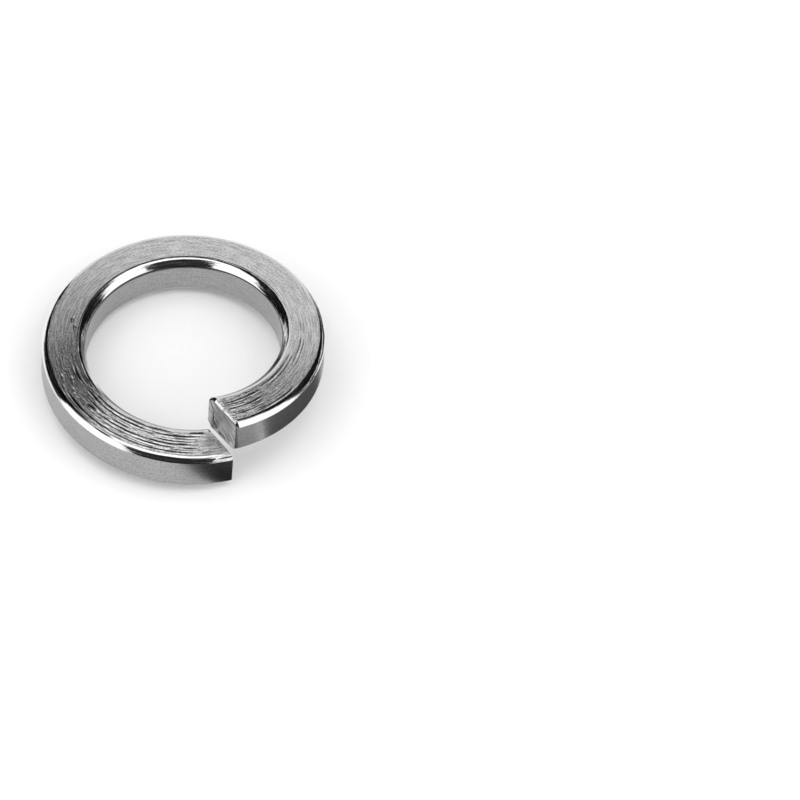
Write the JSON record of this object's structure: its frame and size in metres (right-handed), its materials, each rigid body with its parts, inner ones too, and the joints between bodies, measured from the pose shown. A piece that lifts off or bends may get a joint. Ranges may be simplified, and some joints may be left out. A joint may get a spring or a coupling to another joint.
{
  "type": "spring lock washer",
  "caption": "Split helical spring washer of square wire, sheared at a slant, that locks a bolt or nut by its spring.",
  "frame": {"origin": "centre of the bottom, on the bolt's axis, at the level of the lower end's foot", "axes": "+Z along the bolt's axis, towards the raised end; -Y towards the split"},
  "size_m": [0.024, 0.024, 0.0079],
  "materials": {
    "spring_steel": "drawn and rolled stainless wire, satin with fine drawing lines, brighter on its rounded edges"
  },
  "bodies": {
    "root": {"spring_washer": "spring_steel"}
  },
  "joints": []
}
